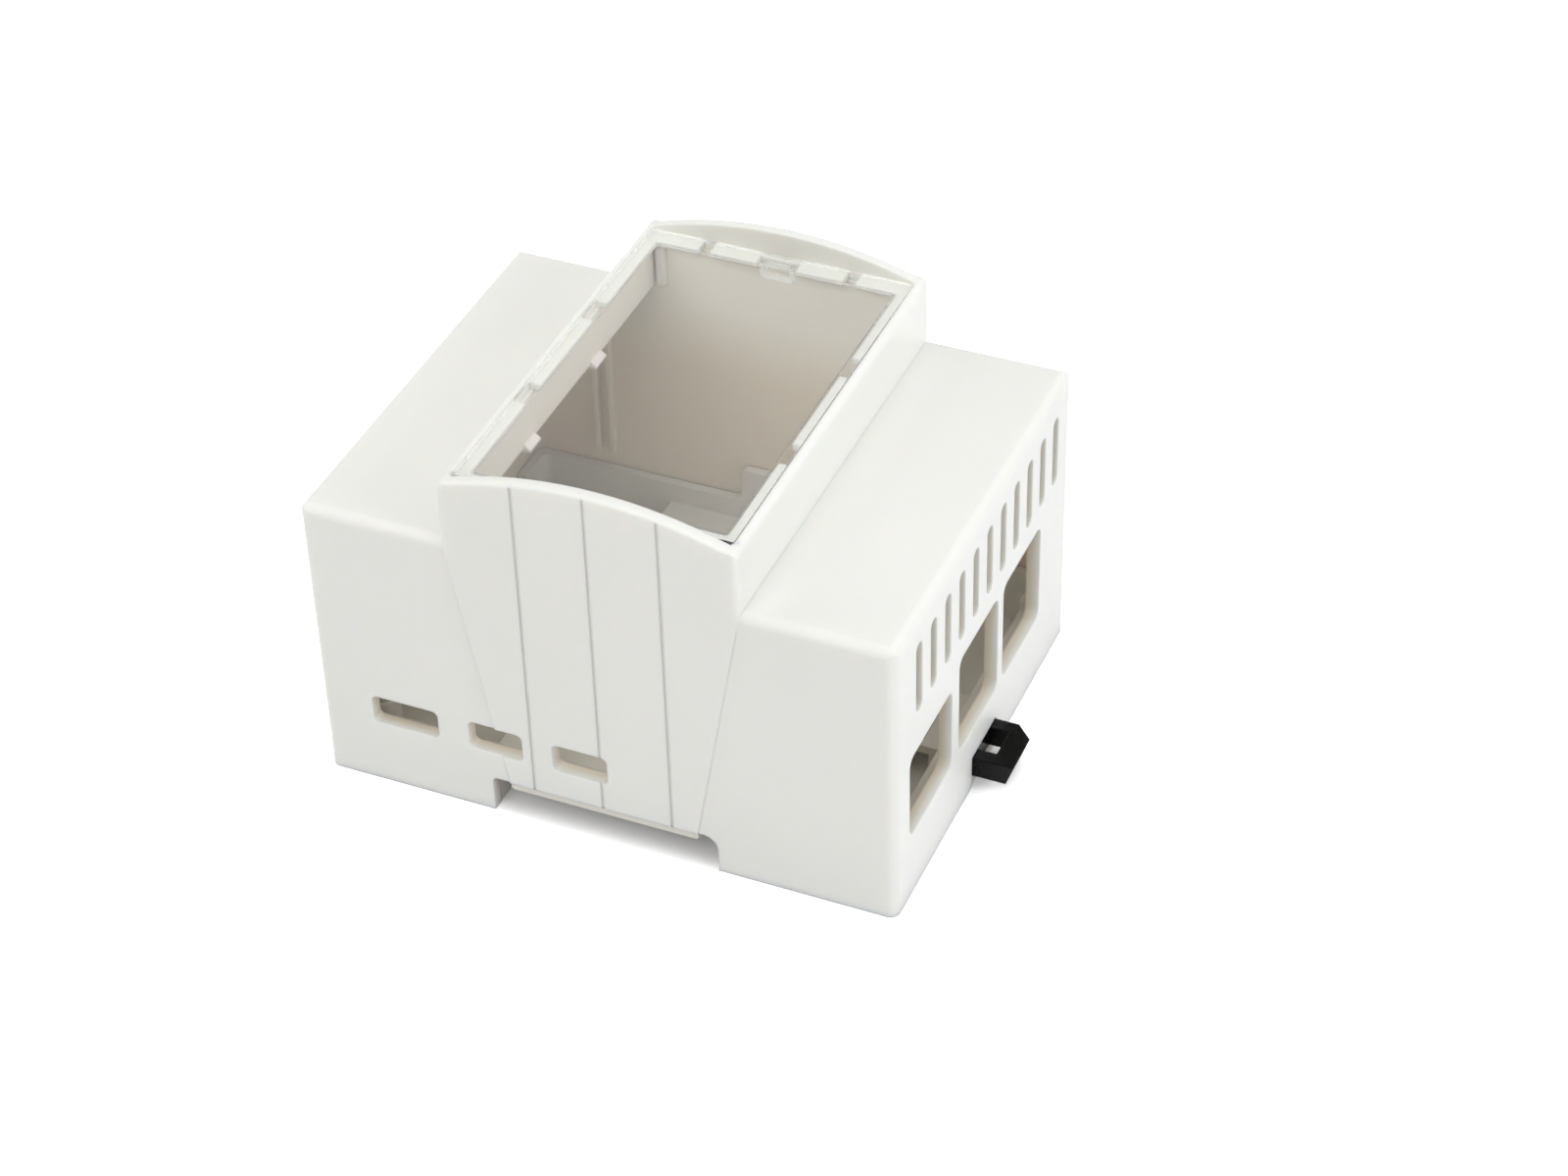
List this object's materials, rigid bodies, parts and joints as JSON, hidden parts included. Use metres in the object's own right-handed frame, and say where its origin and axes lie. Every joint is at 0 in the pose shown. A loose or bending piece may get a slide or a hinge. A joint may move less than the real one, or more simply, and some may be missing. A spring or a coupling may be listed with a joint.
{
  "type": "din rail enclosure",
  "caption": "Modular plastic enclosure for a DIN rail, with an arch-ended nose, a clear hinged lid, vent slots, socket openings and a black sliding rail clip.",
  "frame": {"origin": "middle of the face that rests on the rail's flanges, halfway between the side walls and between the end walls", "axes": "+X to the right, the way the rail clip is pulled; +Y from the front wall to the back wall, along the rail; +Z away from the rail, towards the lid"},
  "size_m": [0.0963, 0.0706, 0.0621],
  "materials": {
    "cover_plastic": "light warm-grey ABS, fine satin texture",
    "base_plastic": "light grey ABS, satin",
    "lid_clear": "clear polycarbonate, polished",
    "clip_black": "black acetal, glossy",
    "screw_steel": "bright nickel-plated steel"
  },
  "bodies": {
    "housing": {"cover": "cover_plastic", "base": "base_plastic", "board_screws": "screw_steel"},
    "lid": {"lid": "lid_clear"},
    "rail_clip": {"rail_clip": "clip_black"}
  },
  "joints": [
    {"name": "lid_hinge", "type": "hinge", "parent": "housing", "child": "lid", "pos_m": [0, -0.0324, 0.0529], "axis": [1, 0, 0], "range_deg": [0, 90]},
    {"name": "clip_slide", "type": "slide", "parent": "housing", "child": "rail_clip", "axis": [1, 0, 0], "range_m": [0, 0.004]}
  ]
}
